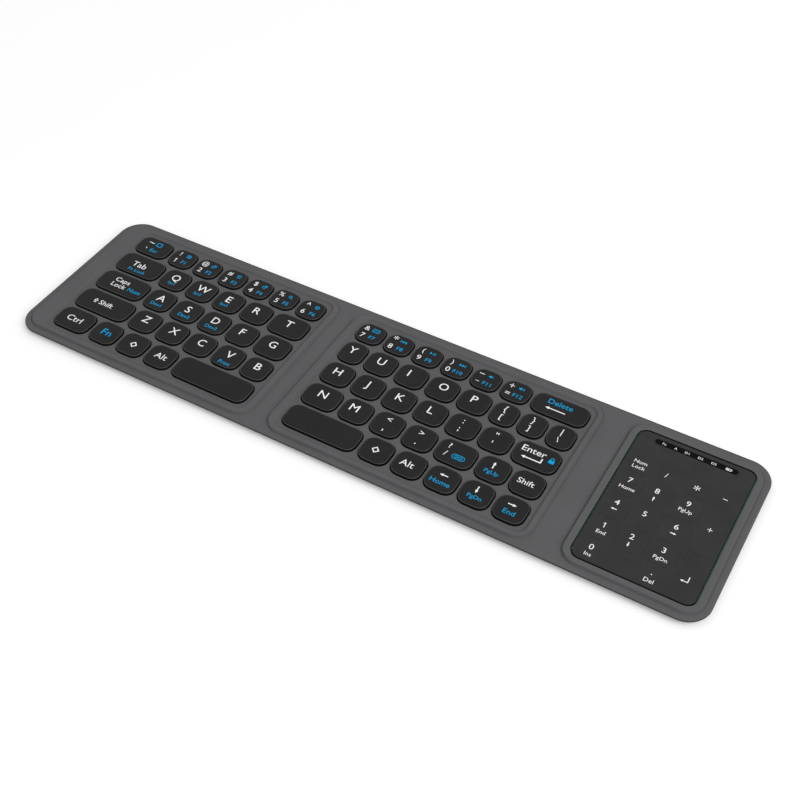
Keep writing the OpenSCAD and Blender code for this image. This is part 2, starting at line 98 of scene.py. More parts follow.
class Shader:
    # the nodes of a new material, or of the world that is given
    def __init__(self, name, world=None):
        self.material = world or bpy.data.materials.new(name)
        self.material.use_nodes = True
        self.tree = self.material.node_tree
        self.tree.nodes.clear()

    def node(self, kind, settings=None, inputs=(), out=0):
        # one node: its settings first, then values or wires on its sockets
        made = self.tree.nodes.new(kind)
        for key, value in (settings or {}).items():
            setattr(made, key, value)
        for key, value in inputs.items() if isinstance(inputs, dict) else enumerate(inputs):
            if isinstance(value, Wire):
                self.tree.links.new(value.socket, made.inputs[key])
            else:
                made.inputs[key].default_value = value
        return Wire(self, made.outputs[out]) if len(made.outputs) else None

    def place(self, stretch=(1, 1, 1)):
        spot = self.node("ShaderNodeTexCoord", out="Object")
        return self.node("ShaderNodeMapping", None, {"Vector": spot, "Scale": stretch})

    def noise(self, spot, size, detail=2.0, roughness=0.5):
        return self.node("ShaderNodeTexNoise", None,
                         {"Vector": spot, "Scale": 1 / (size * mm), "Detail": detail, "Roughness": roughness})

    def cells(self, spot, size, feature="SMOOTH_F1"):
        return self.node("ShaderNodeTexVoronoi", {"feature": feature},
                         {"Vector": spot, "Scale": 1 / (size * mm)})

    def blendColours(self, factor, first, second):
        colours = [c if isinstance(c, Wire) else (*c, 1) for c in (first, second)]
        return self.node("ShaderNodeMix", {"data_type": "RGBA"}, {0: factor, 6: colours[0], 7: colours[1]}, 2)

    def bump(self, height, strength, depth):
        return self.node("ShaderNodeBump", None,
                         {"Strength": strength, "Distance": depth * mm, "Height": height})

    def finish(self, colour, roughness, normal=None, **constants):
        sockets = {"Base Color": colour if isinstance(colour, Wire) else (*colour, 1), "Roughness": roughness}
        sockets.update({key.replace("_", " "): value for key, value in constants.items()})
        if normal is not None:
            sockets["Normal"] = normal
        surface = self.node("ShaderNodeBsdfPrincipled", None, sockets)
        self.node("ShaderNodeOutputMaterial", None, {"Surface": surface})
        return self.material


def leatherMaterial(name, tone, depth):
    # matt artificial leather: pebbles with fine creases between them, and a slow change of tone
    s = Shader(name)
    spot = s.place()
    pebbles = s.cells(spot, 0.85)
    creases = s.noise(spot, 0.35, 3.0, 0.6)
    slow = s.noise(spot, 22, 2.0)
    grain = pebbles * 0.7 + creases * 0.5
    light = (slow * 0.55 + grain * 0.45).step(0.25, 0.75)
    colour = s.blendColours(light, [c * 0.9 for c in tone], [c * 1.09 for c in tone])
    return s.finish(colour, creases * 0.16 + 0.66, s.bump(1 - grain, depth, 0.06), Specular_IOR_Level=0.04)


def plasticMaterial(name, tone, roughness, texture=0.3, depth=0.2, specular=0.35):
    # moulded plastic with the fine spark texture of its tool
    s = Shader(name)
    spot = s.place()
    fine = s.noise(spot, texture, 3.0, 0.6)
    slow = s.noise(spot, 9, 2.0)
    colour = s.blendColours(slow.step(0.3, 0.7), [c * 0.9 for c in tone], [c * 1.1 for c in tone])
    return s.finish(colour, fine * 0.14 + (roughness - 0.07), s.bump(fine, depth, 0.03),
                    Specular_IOR_Level=specular)


def metalMaterial(name, tone, roughness, along):
    # rolled sheet with fine lines along one axis
    s = Shader(name)
    lines = s.noise(s.place(tuple(0.04 if axis == along else 1 for axis in "xyz")), 0.25, 3.0, 0.6)
    marks = s.noise(s.place(), 6, 3.0)
    colour = s.blendColours(lines * 0.6 + marks * 0.4, [c * 0.82 for c in tone], [c * 1.1 for c in tone])
    return s.finish(colour, lines * 0.2 + roughness, s.bump(lines, 0.15, 0.02), Metallic=1.0)


def inkMaterial(name, tone):
    # printed ink, a little uneven where the screen let less through
    s = Shader(name)
    patches = s.noise(s.place(), 0.9, 3.0, 0.6)
    colour = s.blendColours(patches.step(0.3, 0.6), [c * 0.93 for c in tone], tone)
    return s.finish(colour, patches * 0.1 + 0.55, Specular_IOR_Level=0.1)


def boardMaterial(name, tone):
    # solder mask over copper tracks that run both ways
    s = Shader(name)
    spot = s.place()
    along = s.node("ShaderNodeTexWave", {"bands_direction": "X"},
                   {"Vector": spot, "Scale": 260.0, "Distortion": 1.5}) > 0.72
    across = s.cells(spot, 2.6, "DISTANCE_TO_EDGE") < 0.06
    tracks = along.maths("MAXIMUM", along, across)
    colour = s.blendColours(tracks, tone, [c * 2.2 + 0.01 for c in tone])
    return s.finish(colour, tracks * -0.1 + 0.42, s.bump(tracks, 0.3, 0.03))


def filmMaterial(name, tone, trace):
    # clear film with printed silver traces
    s = Shader(name)
    spot = s.place()
    edges = s.cells(spot, 4.5, "DISTANCE_TO_EDGE") < 0.05
    fleck = s.noise(spot, 0.6, 2.0)
    colour = s.blendColours(edges, tone, trace)
    return s.finish(colour, fleck * 0.1 + 0.32, s.bump(edges, 0.3, 0.02))


tones = {
    "leather": (0.108, 0.108, 0.112), "cutEdgeAndShade": (0.066, 0.066, 0.069),
    "keyCap": (0.0134, 0.0134, 0.0139), "keySideShade": (0.003, 0.003, 0.0033), "keyEdgeHighlight": (0.035, 0.035, 0.036),
    "touchFace": (0.029, 0.029, 0.03), "window": (0.004, 0.004, 0.0045), "gridLine": (0.018, 0.018, 0.019),
    "white": (0.95, 0.95, 0.95), "blue": (0.0, 0.37, 0.73), "frame": (0.02, 0.02, 0.022),
    "steel": (0.5, 0.5, 0.51), "port": (0.56, 0.56, 0.57), "film": (0.10, 0.105, 0.10),
    "trace": (0.32, 0.33, 0.33), "rubber": (0.20, 0.20, 0.195), "support": (0.05, 0.05, 0.052),
    "board": (0.02, 0.12, 0.05), "foil": (0.6, 0.61, 0.62), "cable": (0.55, 0.25, 0.06),
    "cableTrace": (0.62, 0.42, 0.2),
}
leather = leatherMaterial("artificial leather", tones["leather"], 0.35)
# the cut edge's own darker colour, which is also painted shade: the edges are darkened where they face
# sideways or down, and the same colour darkens the back and left edge tops, the key holes and the port
# opening
cutEdgeAndShade = leatherMaterial("leather cut edge and painted shade", tones["cutEdgeAndShade"], 0.2)
keyPlastic = plasticMaterial("key plastic", tones["keyCap"], 0.58, 0.3, 0.2, 0.12)
# painted shade: the key sides, the touch plate's side and the touch cover's lip are near black, darker than
# the tops, where less light reaches them
keySideShade = plasticMaterial("key side painted shade", tones["keySideShade"], 0.5, 0.3, 0.1, 0.1)
# painted highlight: the rounded key edges are lighter than the tops
keyEdgeHighlight = plasticMaterial("key edge painted highlight", tones["keyEdgeHighlight"], 0.34, 0.3, 0.05, 0.4)
touchFace = plasticMaterial("touch face", tones["touchFace"], 0.5, 0.22, 0.12, 0.12)
windowGloss = plasticMaterial("indicator window", tones["window"], 0.3, 0.5, 0.05, 0.03)
gridInk = plasticMaterial("grid ink", tones["gridLine"], 0.55, 0.3, 0.1, 0.1)
whiteInk = inkMaterial("white ink", tones["white"])
blueInk = inkMaterial("blue ink", tones["blue"])
framePlastic = plasticMaterial("frame plastic", tones["frame"], 0.6, 0.4, 0.3)
supportPlastic = plasticMaterial("support plastic", tones["support"], 0.45, 0.3, 0.15)
rubber = plasticMaterial("dome rubber", tones["rubber"], 0.62, 0.25, 0.2)
plateSteel = metalMaterial("plate steel", tones["steel"], 0.3, "x")
portSteel = metalMaterial("port steel", tones["port"], 0.22, "y")
foil = metalMaterial("battery foil", tones["foil"], 0.34, "x")
film = filmMaterial("contact film", tones["film"], tones["trace"])
board = boardMaterial("solder mask", tones["board"])
cable = filmMaterial("flat cable", tones["cable"], tones["cableTrace"])
print("materials made")

nodeMaterials = {
    "frame": framePlastic, "key_plate": plateSteel, "membrane": film, "domes": rubber,
    "supports": supportPlastic, "port": portSteel, "board": board, "battery": foil, "hinge_cable": cable,
}
for nodeName, node in frame["nodes"].items():
    for ending, material in nodeMaterials.items():
        if nodeName.endswith(ending):
            node.data.materials.clear()
            node.data.materials.append(material)


def roundedLoop(x, y, radii, steps=16, power=2.0):
    # a rectangle from x[0], y[0] to x[1], y[1] with superellipse corners, counterclockwise from the front
    # left: each corner is its centre plus r * (cos t ^ (2/power), sin t ^ (2/power)), by quarter turns
    radii = np.broadcast_to(np.asarray(radii, float), 4)
    t = np.linspace(0, np.pi / 2, steps)
    u, v = np.cos(t) ** (2 / power), np.sin(t) ** (2 / power)
    corners = [(x[0], y[0], 1, 1, -u, -v), (x[1], y[0], -1, 1, v, -u),
               (x[1], y[1], -1, -1, u, v), (x[0], y[1], 1, -1, -v, u)]
    return np.concatenate([np.stack([cx + r * (sx + a), cy + r * (sy + b)], 1)
                           for (cx, cy, sx, sy, a, b), r in zip(corners, radii)])


def ringAt(loop, z):
    # a flat outline lifted to height z
    return np.column_stack([loop, np.full(len(loop), z)])


def loft(rings, startCap=False, endCap=False, closed=True):
    # quads between successive rings of equal length, with a polygon over the first or last ring
    rings = np.asarray(rings, float)
    count, size = rings.shape[:2]
    a = np.arange(size if closed else size - 1)
    b = (a + 1) % size
    base = (np.arange(count - 1) * size)[:, None]
    quads = np.stack([base + a, base + b, base + size + b, base + size + a], 2).reshape(-1, 4).tolist()
    if startCap:
        quads.append(list(range(size))[::-1])
    if endCap:
        quads.append(list(range((count - 1) * size, count * size)))
    return rings.reshape(-1, 3), quads


def insideLoop(points, loop):
    # true for the points on the left of every side of a convex counterclockwise loop
    side = np.roll(loop, -1, 0) - loop
    away = points[:, None, :] - loop[None]
    return np.all(side[None, :, 0] * away[:, :, 1] - side[None, :, 1] * away[:, :, 0] > 0, 1)


def fillBetween(outer, holes, z, up):
    # flat triangles between one outer loop and the loops of its holes
    loops = [outer, *holes]
    starts = np.cumsum([0] + [len(l) for l in loops])
    edges = [(int(s + i), int(s + (i + 1) % len(l))) for s, l in zip(starts, loops) for i in range(len(l))]
    spots, _, triangles, *_ = delaunay_2d_cdt([Vector(p) for p in np.concatenate(loops)], edges, [], 0, 1e-6)
    spots, triangles = np.array([tuple(p) for p in spots]), np.array(triangles)
    middles = spots[triangles].mean(1)
    keep = insideLoop(middles, outer)
    for hole in holes:
        keep &= ~insideLoop(middles, hole)
    triangles = triangles[keep]
    p = spots[triangles]
    turn = np.cross(p[:, 1] - p[:, 0], p[:, 2] - p[:, 0])
    triangles[(turn > 0) != up] = triangles[(turn > 0) != up][:, ::-1]
    return ringAt(spots, z), triangles.tolist()


def mergeDoubles(mesh):
    # joins points that share a place and drops what has no area
    work = bmesh.new()
    work.from_mesh(mesh)
    bmesh.ops.remove_doubles(work, verts=work.verts, dist=5e-7)
    bmesh.ops.dissolve_degenerate(work, edges=work.edges, dist=1e-8)
    work.to_mesh(mesh)
    work.free()


def pieceFrom(name, parts, materials, merge=False, smooth=True):
    # one mesh from parts of (points in millimetres, faces, material number)
    points, faces, numbers, start = [], [], [], 0
    for spots, polygons, number in parts:
        points.append(spots)
        faces += [[start + i for i in f] for f in polygons]
        numbers += [number] * len(polygons)
        start += len(spots)
    mesh = bpy.data.meshes.new(name)
    mesh.from_pydata((np.concatenate(points) * mm).tolist(), [], faces)
    mesh.polygons.foreach_set("material_index", numbers)
    mesh.polygons.foreach_set("use_smooth", [smooth] * len(faces))
    for material in materials:
        mesh.materials.append(material)
    if merge:
        mergeDoubles(mesh)
    mesh.update()
    mesh.set_sharp_from_angle(angle=math.radians(38))
    piece = bpy.data.objects.new(name, mesh)
    bpy.context.scene.collection.objects.link(piece)
    return piece


def smoothStep(t):
    # from 0 to 1, level at both ends: 3 t squared less 2 t cubed
    return t * t * (3 - 2 * t)


# each key: CAD node, width, and its legends as (mark, across, up, height, ink); ink 0 is white and 1 is blue
letterWidth, numberWidth = 15.3, 14.35
letter = lambda mark, across=0.0: (mark, across, 1.4, 4.4, 0)
small = lambda mark, across=0.0, up=-3.0, height=1.7: (mark, across, up, height, 1)
letterKey = lambda node, mark, across=0.0, *more: (node, letterWidth, [letter(mark, across), *more])


def numberKey(node, symbol, digit, icon, name, columns):
    # white sign over digit in the left column, blue icon over name in the right one
    heights = {"*": 4.2, "@minus": 2.7, "@plus": 2.6, "@dash": 1.9, "^": 3.4}
    left, right = columns
    legends = [(symbol, left, 2.9, heights.get(symbol, 2.9), 0),
               (digit, left, -2.6, heights.get(digit, 3.1), 0),
               (icon, right, 2.8, 2.4, 1), (name, right + 0.1, -2.5, 2.3, 1)]
    return node, numberWidth, legends


field = {
    "letterDepth": 14.7, "numberDepth": 13.4, "gap": 1.9, "blockBack": 39.9, "leftStart": -168.3125,
    "middleStart": -29.4125, "leftWidth": 117.4, "middleWidth": 125.8, "border": 2.7,
}
leftColumns, middleColumns = (-3.1, 2.2), (-3.5, 1.6)
leftNumbers, leftModifiers = "left_number_keys", "left_modifier_keys"
middleNumbers, middleModifiers = "middle_number_keys", "middle_modifier_keys"
punctuation, arrows = "punctuation_keys", "arrow_keys"
leftRows = [
    [(leftNumbers, 19.9, [("~", -3.4, 3.0, 3.6, 0), ("`", -3.6, -3.6, 4.2, 0), ("@square", 1.4, 2.7, 3.4, 1),
                          ("Esc", 1.3, -2.5, 2.3, 1)])] +
    [numberKey(leftNumbers, *key, leftColumns) for key in (
        ("!", "@one", "@copy", "F1"), ("@", "2", "@pages", "F2"), ("#", "3", "@lines", "F3"),
        ("$", "4", "@pages", "F4"), ("%", "5", "@lens", "F5"), ("^", "6", "@ring", "F6"))],
    [(leftModifiers, 26.3, [("Tab", -0.7, 0.2, 3.6, 0), small("Fn Lock", 0.3, -4.2, 2.1)]),
     letterKey("key_q", "Q", -0.2, small("Sys1")), letterKey("key_w", "W", 0.3, small("Sys2", -0.6)),
     letterKey("key_e", "E", -0.8, small("Sys3", -1.0)), letterKey("key_r", "R", -0.8),
     ("key_t", 20.4, [letter("T", -0.5)])],
    [(leftModifiers, 29.1, [("Caps", -1.6, 2.3, 2.9, 0), ("Lock", -1.8, -1.7, 2.9, 0),
                            small("Num", 8.4, -1.6, 2.5)]),
     letterKey("key_a", "A", 0.1, small("Dev1", 0.3, -3.5, 2.1)),
     letterKey("key_s", "S", 0, small("Dev2", 0.5, -3.5, 2.1)),
     letterKey("key_d", "D", 0, small("Dev3", 0.4, -3.5, 2.1)), letterKey("key_f", "F", -0.8),
     ("key_g", 17.6, [letter("G", -0.5)])],
    [(leftModifiers, 32.4, [("@shift", -6.0, 0.1, 3.2, 0), ("Shift", 0.5, 0.1, 3.0, 0)]),
     letterKey("key_z", "Z", 0.1), letterKey("key_x", "X", 0.3), letterKey("key_c", "C", 0.1),
     letterKey("key_v", "V", 0.2, small("Print", 0.6, -4.6, 2.2)), ("key_b", 14.3, [letter("B", 0)])],
    [(leftModifiers, 20.7, [("Ctrl", -0.3, 0.2, 3.6, 0)]),
     (leftModifiers, letterWidth, [("Fn", 0.3, 0.3, 4.1, 1)]),
     (leftModifiers, letterWidth, [("@diamond", 0.2, 0.1, 4.0, 0)]),
     (leftModifiers, letterWidth, [("Alt", 0.1, 0.2, 3.5, 0)]), ("left_space_bar", 43.2, [])],
]
middleRows = [
    [numberKey(middleNumbers, *key, middleColumns) for key in (
        ("&", "7", "@keys", "F7"), ("*", "8", "@back", "F8"), ("(", "9", "@play", "F9"),
        (")", "0", "@next", "F10"), ("@minus", "@dash", "@quiet", "F11"), ("@plus", "=", "@loud", "F12"))] +
    [(middleModifiers, 28.3, [("Delete", -1.0, 2.6, 3.0, 1), ("@longLeft", -1.9, -1.9, 10.2, 0)])],
    [("key_y", 12.9, [letter("Y", -0.8)]), letterKey("key_u", "U", -0.4),
     letterKey("key_i", "I", -2.0), letterKey("key_o", "O"), letterKey("key_p", "P", -0.8)] +
    [(punctuation, 12.8, [(upper, -0.8, 3.2, 3.5, 0), (lower, -0.8, -2.2, 3.1, 0)])
     for upper, lower in ("{[", "}]", "|\\")],
    [("key_h", 15.6, [letter("H", -0.6)]), letterKey("key_j", "J", -0.5),
     letterKey("key_k", "K", -0.5), letterKey("key_l", "L", -0.9),
     (punctuation, letterWidth, [(":", -1.0, 3.3, 3.4, 0), (";", -1.0, -2.0, 3.4, 0)]),
     (punctuation, letterWidth, [('"', -0.9, 2.6, 3.4, 0), ("'", -0.9, -3.0, 3.4, 0)]),
     (middleModifiers, 22.3, [("Enter", -2.3, 2.6, 3.5, 0), ("@return", -1.6, -2.6, 10.0, 0),
                              ("@lock", 7.3, 0.9, 3.3, 1)])],
    [("key_n", 18.8, [letter("N", -0.2)]), letterKey("key_m", "M", -1.6),
     (punctuation, letterWidth, [("<", -0.5, 3.2, 3.2, 0), (",", -0.4, -2.4, 3.8, 0)]),
     (punctuation, letterWidth, [(">", -0.5, 3.2, 3.2, 0), (".", -0.3, -2.4, 3.8, 0)]),
     (punctuation, 19.1, [("?", -4.5, 3.1, 3.0, 0), ("/", -4.4, -1.9, 3.0, 0), ("@link", 2.1, -1.8, 6.4, 1)]),
     (arrows, letterWidth, [("@up", -0.7, 2.3, 4.2, 0), small("PgUp", 0, -2.0, 2.15)]),
     (middleModifiers, letterWidth, [("Shift", -1.0, 0.5, 3.0, 0)])],
    [("right_space_bar", 39.8, []), (middleModifiers, letterWidth, [("@diamond", -0.6, 0.2, 4.0, 0)]),
     (middleModifiers, letterWidth, [("Alt", -1.0, 0.2, 3.5, 0)]),
     (arrows, letterWidth, [("@left", -0.4, 2.4, 4.2, 0), small("Home", -0.3, -2.0, 2.6)]),
     (arrows, letterWidth, [("@down", -0.7, 2.4, 4.2, 0), small("PgDn", 0, -2.0, 2.15)]),
     (arrows, letterWidth, [("@right", -0.5, 2.4, 4.2, 0), small("End", -0.1, -2.0, 2.6)])],
]


def placedKeys(rows, start):
    # (node, legends, centre x, centre y, width, depth) of every key, from the back row to the front row
    keys, back = [], field["blockBack"]
    for number, row in enumerate(rows):
        depth, x = field["numberDepth" if number == 0 else "letterDepth"], start
        for node, width, legends in row:
            keys.append((node, legends, x + width / 2, back - depth / 2, width, depth))
            x += width + field["gap"]
        back -= depth + field["gap"]
    return keys


leftKeys, middleKeys = placedKeys(leftRows, field["leftStart"]), placedKeys(middleRows, field["middleStart"])


cap = {
    "corner": 5.3, "steps": 12, "power": 2.25, "bottom": 3.0, "top": 4.95, "roof": 4.15, "wall": 0.9,
    "bevel": 0.28, "bevelSteps": 6, "draft": 0.2,
}


def keyLoop(x, y, width, depth, inset):
    # a key's outline about its centre, drawn in by inset or grown where that is negative
    return roundedLoop((x - width / 2 + inset, x + width / 2 - inset),
                       (y - depth / 2 + inset, y + depth / 2 - inset),
                       max(cap["corner"] - inset, 0.6), cap["steps"], cap["power"])


def keyCap(x, y, width, depth):
    # hollow cap: roof underside, inner wall, bottom rim, outer wall, a quarter-round bevel and the flat top
    turn = np.linspace(0, np.pi / 2, cap["bevelSteps"])
    wall, bottom, top, bevel, draft = (cap[part] for part in ("wall", "bottom", "top", "bevel", "draft"))
    profile = [(wall, cap["roof"]), (wall, bottom), (0.1, bottom), (0.0, bottom + 0.1),
               (0.02, top - bevel - 0.5), (draft - 0.01, top - bevel - 0.05)]
    bevelStart = len(profile)
    profile += [(draft + bevel * (1 - c), top - bevel * (1 - s)) for c, s in zip(np.cos(turn), np.sin(turn))]
    profile += [(draft + bevel + 0.12, top)]
    rings = [ringAt(keyLoop(x, y, width, depth, inset), z) for inset, z in profile]
    spots, faces = loft(rings, True, True)
    size = len(rings[0])
    side = (bevelStart + 1) * size  # faces below the rounded edge
    edge = side + (cap["bevelSteps"] - 2) * size
    # painted shade on the near-black sides below the rounded edge, painted highlight on the lighter rounded
    # edge
    return [(spots, faces[:side] + faces[-2:-1], 1), (spots, faces[side:edge], 2),
            (spots, faces[edge:-2] + faces[-1:], 0)]


ink = {"thickness": 0.03, "lift": 0.005, "stretch": 1.09}
glyphs = {}


def welded(spots, faces):
    # joins the points of one part that share a place, so that its seams are closed
    places, number = np.unique(np.round(spots, 6), axis=0, return_inverse=True)
    number = number.ravel()
    joined = [list(dict.fromkeys(number[f].tolist())) for f in faces]
    return places, [f for f in joined if len(f) > 2]


def glyphMesh(text):
    # the built-in typeface as a thin closed plate of capital height 1, centred on its capital's middle
    if text not in glyphs:
        made = []
        for body in ("H", text):
            curve = bpy.data.curves.new("glyph", "FONT")
            curve.body, curve.size, curve.align_x = body, 1, "CENTER"
            curve.resolution_u, curve.extrude = 3, 0.5
            holder = bpy.data.objects.new("glyph", curve)
            bpy.context.scene.collection.objects.link(holder)
            bpy.context.view_layer.update()
            mesh = holder.evaluated_get(bpy.context.evaluated_depsgraph_get()).to_mesh()
            spots = np.zeros(len(mesh.vertices) * 3)
            mesh.vertices.foreach_get("co", spots)
            made.append((spots.reshape(-1, 3), [list(p.vertices) for p in mesh.polygons]))
            bpy.data.objects.remove(holder)
            bpy.data.curves.remove(curve)
        height = made[0][0][:, 1].max()
        spots, faces = made[1]
        stretch = 1.0 if text in tuple("OQCGD@") else ink["stretch"]  # round marks stay as they are
        glyphs[text] = welded(spots / [height / stretch, height, 1] - [0, 0.5, 0], faces)
    return glyphs[text]


def plate(outer, inner=None):
    # a closed plate one unit thick from one outline, or a frame between two outlines of equal length
    outer = np.asarray(outer, float)
    if inner is None:
        return loft([ringAt(outer, -0.5), ringAt(outer, 0.5)], True, True)
    inner = np.asarray(inner, float)
    rings = [ringAt(inner, -0.5), ringAt(outer, -0.5), ringAt(outer, 0.5), ringAt(inner, 0.5)]
    return welded(*loft(rings + [rings[0]]))


def box(x0, x1, y0, y1):
    # corners of a rectangle, counterclockwise
    return np.array([(x0, y0), (x1, y0), (x1, y1), (x0, y1)])


def disc(x, y, r, steps=20):
    # points of a circle about x and y
    t = np.linspace(0, 2 * np.pi, steps, endpoint=False)
    return np.column_stack([x + r * np.cos(t), y + r * np.sin(t)])


quarterTurns = {"right": 0, "up": 1, "left": 2, "down": 3}


def arrow(length, line, head, turn):
    # an arrow along +x about the origin, turned by quarter turns
    h = length / 2
    points = np.array([(-h, -line / 2), (h - head, -line / 2), (h - head, -head * 0.45), (h, 0),
                       (h - head, head * 0.45), (h - head, line / 2), (-h, line / 2)])
    a = turn * np.pi / 2
    return points @ np.array([[math.cos(a), math.sin(a)], [-math.sin(a), math.cos(a)]])


def roundedFrame(x0, x1, y0, y1, radius, width):
    # a frame from its outer sides, its corner radius and the width of its line
    return plate(roundedLoop((x0, x1), (y0, y1), radius, 5),
                 roundedLoop((x0 + width, x1 - width), (y0 + width, y1 - width),
                             max(radius - width, 0.05), 5))


def markPlates(mark, size):
    # plates of the drawn marks, each about the origin, for a height or length of size
    h = size / 2
    if mark == "square":
        return [roundedFrame(-h, h, -h * 0.9, h * 0.9, 0.7, 0.45)]
    if mark == "copy":
        return [roundedFrame(-h, h, -h, h, 0.4, 0.32), plate(box(-0.45, 0.45, -0.45, 0.45))]
    if mark == "pages":
        return [roundedFrame(-h, h * 0.5, -h, h * 0.5, 0.3, 0.3), plate(box(-h * 0.1, h, -h * 0.1, h))]
    if mark == "lines":
        return [plate(box(-h, h, y - 0.17, y + 0.17)) for y in (-h * 0.8, 0, h * 0.8)]
    if mark == "lens":
        handle = np.array([(1.0, -1.35), (1.25, -1.1), (0.6, -0.45), (0.35, -0.75)])
        return [plate(disc(-0.2, 0.2, 0.95), disc(-0.2, 0.2, 0.6)), plate(handle)]
    if mark == "ring":
        return [plate(disc(0, 0, h), disc(0, 0, h * 0.68)), plate(disc(0, 0, h * 0.3))]
    if mark == "keys":
        dots = [box(x - 0.28, x + 0.28, y - 0.2, y + 0.2) for x in (-1.1, 0, 1.1) for y in (-0.5, 0.45)]
        return [roundedFrame(-2.0, 2.0, -1.25, 1.25, 0.4, 0.28), *map(plate, dots)]
    triangle = lambda x, way: plate(
        np.array([(x - 0.65 * way, -0.85), (x + 0.65 * way, 0), (x - 0.65 * way, 0.85)])[::way])
    bar = lambda x: plate(box(x - 0.16, x + 0.16, -0.8, 0.8))
    if mark == "back":
        return [bar(-1.9), triangle(-0.85, -1), triangle(0.65, -1)]
    if mark == "next":
        return [triangle(-0.65, 1), triangle(0.85, 1), bar(1.9)]
    if mark == "play":
        return [triangle(-0.9, 1), bar(0.5), bar(1.3)]
    if mark in ("quiet", "loud"):
        horn = np.array([(-0.8, -0.4), (0.1, -0.95), (0.1, 0.95), (-0.8, 0.4)])
        waves = [(0.75, 0.4), (1.35, 0.75)][:1 if mark == "quiet" else 2]
        outlines = [box(-1.4, -0.8, -0.4, 0.4), horn, *(box(x - 0.14, x + 0.14, -y, y) for x, y in waves)]
        return [plate(outline) for outline in outlines]
    if mark == "diamond":
        d = np.array([(-h, 0), (0, -h), (h, 0), (0, h)])
        return [plate(d, d * 0.62)]
    if mark == "shift":
        outer = np.array([(-0.55, -1.5), (0.55, -1.5), (0.55, -0.1), (1.25, -0.1), (0, 1.6), (-1.25, -0.1),
                          (-0.55, -0.1)])
        inner = np.array([(-0.25, -1.2), (0.25, -1.2), (0.25, 0.2), (0.62, 0.2), (0, 1.08), (-0.62, 0.2),
                          (-0.25, 0.2)])
        return [plate(outer, inner)]
    if mark == "link":
        return [roundedFrame(-3.3, 3.3, -1.5, 1.5, 1.45, 0.32),
                roundedFrame(-2.1, -0.1, -0.75, 0.75, 0.7, 0.32),
                roundedFrame(0.1, 2.1, -0.75, 0.75, 0.7, 0.32)]
    if mark == "lock":
        return [plate(roundedLoop((-1.35, 1.35), (-1.6, 0.45), 0.25, 4)),
                roundedFrame(-0.95, 0.95, 0.2, 1.9, 0.85, 0.36)]
    if mark == "return":
        return [plate(arrow(size, 0.6, 1.9, 2)), plate(box(h - 0.6, h, 0.3, 2.6))]
    if mark == "longLeft":
        return [plate(arrow(size, 0.55, 1.9, 2))]
    if mark in ("minus", "dash", "plus"):
        thick = size * 0.07
        ends = (-h * 0.57, h * 0.57) if mark == "plus" else ()
        bars = [box(-h, h, -thick, thick), *(box(-thick, thick, y - h / 2, y + h / 2) for y in ends)]
        return [plate(outline) for outline in bars]
    if mark == "one":
        outline = np.array([(0.02, -0.5), (0.15, -0.5), (0.15, 0.5), (0.06, 0.5), (-0.2, 0.28), (-0.2, 0.16),
                            (0.02, 0.3)])
        return [plate(size * outline)]
    return [plate(arrow(size, 0.55, 1.7, quarterTurns[mark]))]


def platesOf(mark, height):
    # a mark that begins with @ is drawn, and anything else is written
    if mark.startswith("@") and len(mark) > 1:
        return markPlates(mark[1:], height)
    spots, faces = glyphMesh(mark)
    return [(spots * [height, height, 1], faces)]


def pressed(plates, x, y, z, thickness):
    # plates brought to their place and thickness, as parts of a piece
    return [(spots * [1, 1, thickness] + [x, y, z], faces, 0) for spots, faces in plates]


def legendParts(legends, x, y, top):
    # a key's legends on its flat top, by the number of their ink
    found = {0: [], 1: []}
    for mark, across, up, height, colour in legends:
        plates = platesOf(mark, height)
        found[colour] += pressed(plates, x + across, y + up, top + ink["lift"], ink["thickness"])
    return found


print("keys: building caps and legends")
capsOf, legendsOf = {}, {}
for node, legends, x, y, width, depth in leftKeys + middleKeys:
    capsOf.setdefault(node, []).extend(keyCap(x, y, width, depth))
    for colour, parts in legendParts(legends, x, y, cap["top"]).items():
        legendsOf.setdefault((node, colour), []).extend(parts)
bodyOf = {node: body for body, nodes in frame["record"]["behaviour"]["bodies"].items() for node in nodes}
for node, parts in capsOf.items():
    piece = pieceFrom(node + "_cap", parts, [keyPlastic, keySideShade, keyEdgeHighlight], merge=True)
    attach(piece, bodyOf[node])
    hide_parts(node)
prints = [("_white_print", whiteInk), ("_blue_print", blueInk)]
for (node, colour), parts in legendsOf.items():
    if parts:
        ending, printInk = prints[colour]
        piece = pieceFrom(node + ending, parts, [printInk], smooth=False)
        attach(piece, bodyOf[node])


def supportPieces(panelName, keys):
    # the panel's scissor supports shared out by key node
    source = frame["nodes"][panelName + "_supports"].data
    spots = np.zeros(len(source.vertices) * 3)
    source.vertices.foreach_get("co", spots)
    spots = spots.reshape(-1, 3) / mm
    source.calc_loop_triangles()
    triangles = np.zeros(len(source.loop_triangles) * 3, np.int32)
    source.loop_triangles.foreach_get("vertices", triangles)
    triangles = triangles.reshape(-1, 3)
    middles = spots[triangles].mean(1)
    for node in dict.fromkeys(key[0] for key in keys):
        mine = np.zeros(len(triangles), bool)
        for x, y, width, depth in (key[2:] for key in keys if key[0] == node):
            mine |= (np.abs(middles[:, 0] - x) < width / 2) & (np.abs(middles[:, 1] - y) < depth / 2)
        used, renumbered = np.unique(triangles[mine], return_inverse=True)
        piece = pieceFrom(node + "_supports", [(spots[used], renumbered.reshape(-1, 3).tolist(), 0)],
                          [supportPlastic], merge=True, smooth=False)
        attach(piece, panelName + "_panel")
        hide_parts(panelName + "_supports")
        node + "_press"
        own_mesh(piece)


print("supports: sharing out the scissor pairs")
supportPieces("left", leftKeys)
supportPieces("middle", middleKeys)


